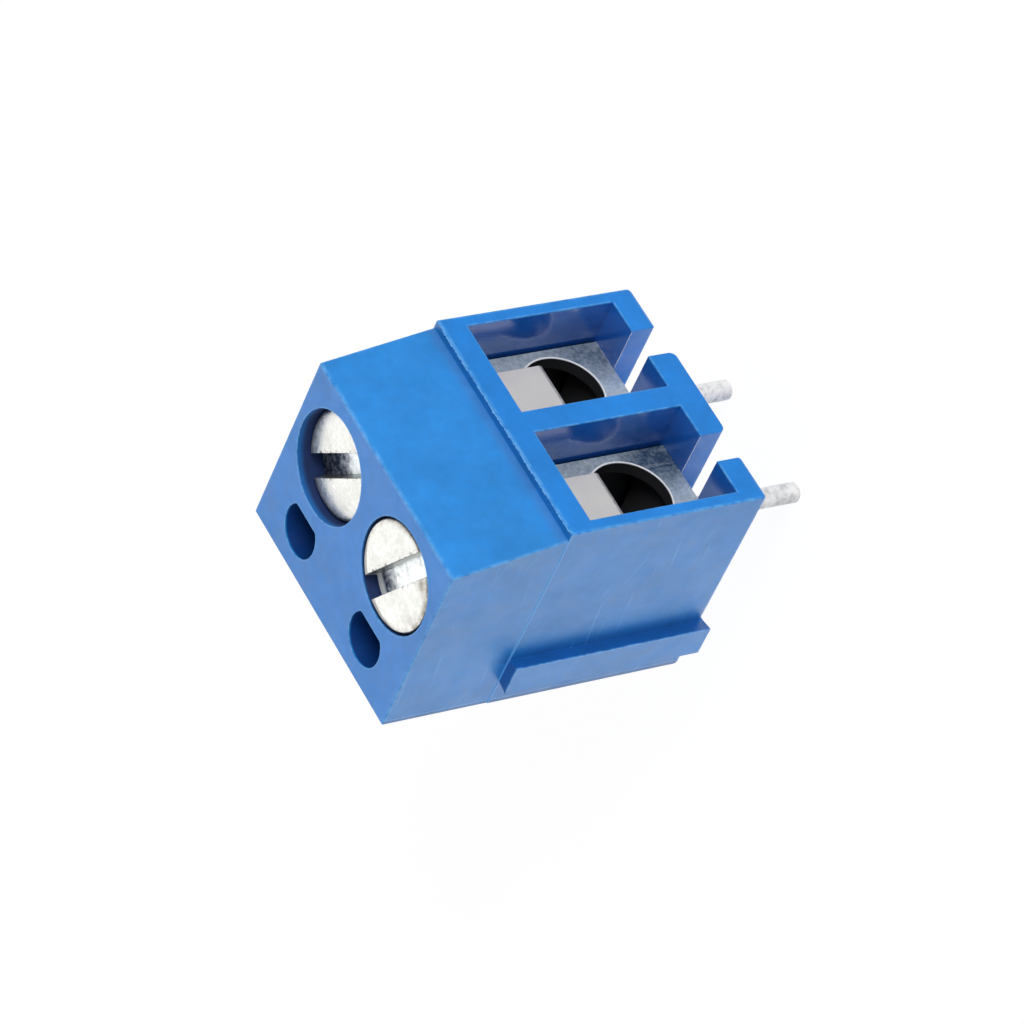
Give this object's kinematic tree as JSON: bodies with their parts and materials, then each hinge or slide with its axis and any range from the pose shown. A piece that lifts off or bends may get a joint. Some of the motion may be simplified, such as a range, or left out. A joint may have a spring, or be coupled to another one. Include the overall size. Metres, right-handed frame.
{
  "type": "pcb terminal block",
  "caption": "Screw terminal block for a printed circuit board, with round solder pins, wire guards, slotted clamp screws and a side dovetail.",
  "frame": {"origin": "on the circuit board's face, midway between the two solder pins", "axes": "+Z away from the board towards the screws, -Y towards the wire entry side, X along the row of poles with the dovetail tongue on the -X side"},
  "size_m": [0.0105, 0.0091, 0.0168],
  "materials": {
    "housing_plastic": "moulded blue thermoplastic, satin outside, glossier in the chambers",
    "frame_plating": "bright plated strip, lightly scuffed",
    "pin_tin": "matt tin plate",
    "screw_zinc": "bright zinc plate, scratched in the slot",
    "guard_steel": "plain cold-rolled strip, satin"
  },
  "bodies": {
    "housing": {"housing": "housing_plastic", "terminal_frame_1": "frame_plating", "terminal_frame_2": "frame_plating", "solder_pin_1": "pin_tin", "solder_pin_2": "pin_tin"},
    "guard_1": {"wire_guard_1": "guard_steel"},
    "screw_1": {"clamp_screw_1": "screw_zinc"},
    "guard_2": {"wire_guard_2": "guard_steel"},
    "screw_2": {"clamp_screw_2": "screw_zinc"}
  },
  "joints": [
    {"name": "guard_slide_1", "type": "slide", "parent": "housing", "child": "guard_1", "axis": [0, 0, -1], "range_m": [-0.00046, 0.00184]},
    {"name": "screw_turn_1", "type": "hinge", "parent": "guard_1", "child": "screw_1", "pos_m": [-0.0025, 0.00038, 0.01], "axis": [0, 0, -1], "range_deg": [-368.1, 1472.1]},
    {"name": "guard_slide_2", "type": "slide", "parent": "housing", "child": "guard_2", "axis": [0, 0, -1], "range_m": [-0.00092, 0.00138]},
    {"name": "screw_turn_2", "type": "hinge", "parent": "guard_2", "child": "screw_2", "pos_m": [0.0025, 0.00038, 0.01], "axis": [0, 0, -1], "range_deg": [-736.1, 1104.1]}
  ],
  "couplings": [
    {"joint": "screw_turn_1", "follows": "guard_slide_1", "rad_per_m": 13963},
    {"joint": "screw_turn_2", "follows": "guard_slide_2", "rad_per_m": 13963}
  ]
}
